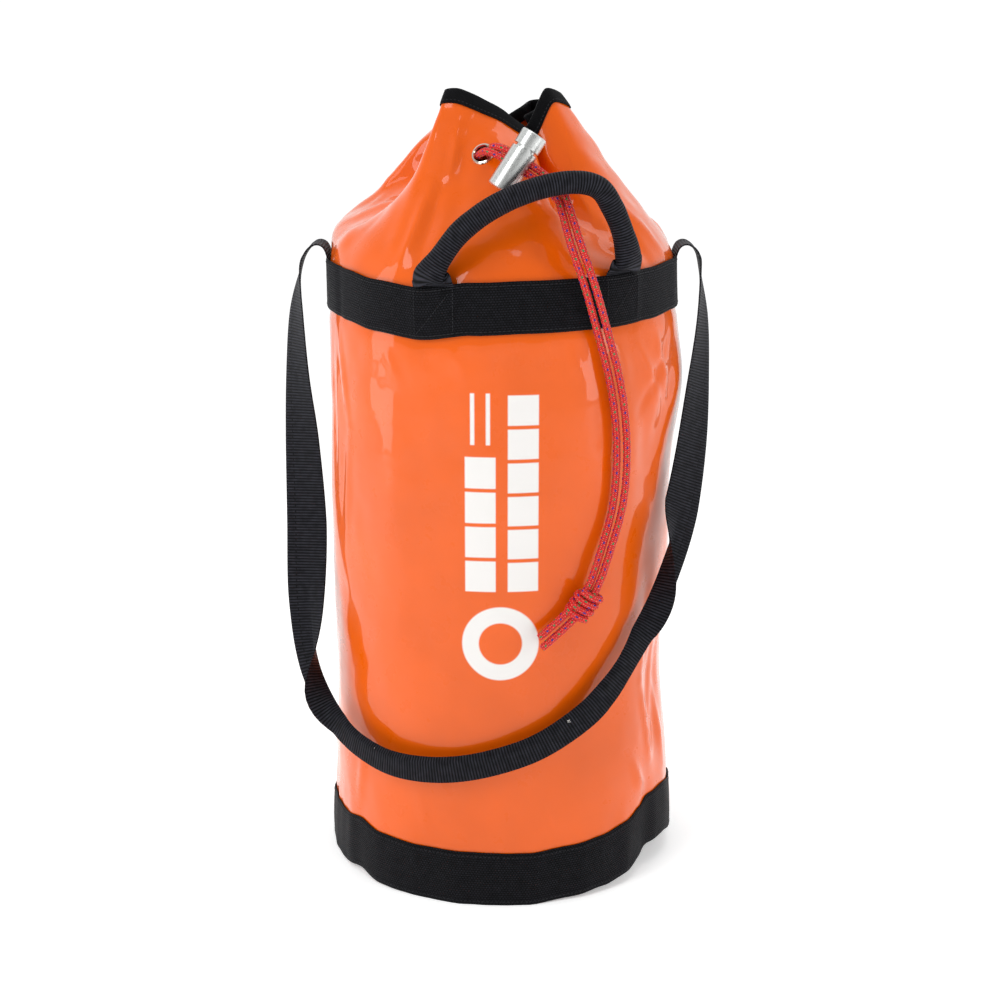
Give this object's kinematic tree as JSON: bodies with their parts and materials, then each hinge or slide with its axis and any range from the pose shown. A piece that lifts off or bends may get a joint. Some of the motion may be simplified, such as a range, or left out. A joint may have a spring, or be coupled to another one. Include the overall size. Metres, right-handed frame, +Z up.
{
  "type": "drawcord rope bag",
  "caption": "Tall round rope bag of coated fabric with a gathered drawcord mouth, cord lock, carry handle and shoulder strap.",
  "frame": {"origin": "centre of the base, on the plane it stands on", "axes": "+Z up through the mouth, -Y towards the side with the carry handle, +X towards the right end of the shoulder strap"},
  "size_m": [0.3541, 0.3027, 0.6458],
  "materials": {
    "orange_pvc": "glossy PVC-coated fabric",
    "black_pvc": "satin PVC-coated fabric",
    "black_webbing": "woven webbing",
    "binding_tape": "matt grosgrain tape",
    "handle_filling": "soft filling cord",
    "red_cord": "braided cord",
    "lock_aluminium": "satin turned",
    "nickel": "plated, polished",
    "spring_steel": "drawn wire",
    "black_thread": "polyester thread",
    "white_thread": "polyester thread"
  },
  "bodies": {
    "bag": {"back_seam_strip": "orange_pvc", "base_disc": "black_pvc", "body_panel": "orange_pvc", "bottom_band": "black_webbing", "bottom_band_thread": "black_thread", "drawcord_knot": "red_cord", "drawcord_loop": "red_cord", "drawcord_strand_left": "red_cord", "drawcord_strand_right": "red_cord", "drawcord_tail_left": "red_cord", "drawcord_tail_right": "red_cord", "eyelet_1": "nickel", "eyelet_2": "nickel", "eyelet_3": "nickel", "eyelet_4": "nickel", "eyelet_5": "nickel", "eyelet_6": "nickel", "eyelet_7": "nickel", "eyelet_washer_1": "nickel", "eyelet_washer_2": "nickel", "eyelet_washer_3": "nickel", "eyelet_washer_4": "nickel", "eyelet_washer_5": "nickel", "eyelet_washer_6": "nickel", "eyelet_washer_7": "nickel", "handle_tab_left": "black_webbing", "handle_tab_right": "black_webbing", "mouth_collar": "orange_pvc", "rim_binding": "binding_tape", "strap_anchor_left": "black_webbing", "strap_anchor_right": "black_webbing", "strap_turnover_left": "black_webbing", "strap_turnover_right": "black_webbing", "upper_band": "black_webbing", "upper_band_thread": "black_thread"},
    "handle": {"handle_sleeve": "black_webbing", "handle_core": "handle_filling"},
    "strap": {"shoulder_strap": "black_webbing", "strap_bartack_left": "white_thread", "strap_bartack_right": "white_thread"},
    "lock": {"cord_lock_barrel": "lock_aluminium", "cord_lock_spring": "spring_steel"},
    "plunger": {"cord_lock_plunger": "lock_aluminium"}
  },
  "joints": [
    {"name": "handle_swing", "type": "hinge", "parent": "bag", "child": "handle", "pos_m": [-0.05436, -0.14088, 0.51], "axis": [0.986, 0.1668, 0], "range_deg": [0, 110]},
    {"name": "strap_swing", "type": "hinge", "parent": "bag", "child": "strap", "pos_m": [0, 0, 0.518], "axis": [-1, 0, 0], "range_deg": [0, 180]},
    {"name": "cord_lock_slide", "type": "slide", "parent": "bag", "child": "lock", "axis": [0.8324, -0.1961, -0.5182], "range_m": [0, 0.008]},
    {"name": "plunger_press", "type": "slide", "parent": "lock", "child": "plunger", "axis": [-0.5449, -0.12, -0.8299], "range_m": [0, 0.002], "stiffness_N_per_m": 3000, "deforming": ["cord_lock_spring"]}
  ]
}
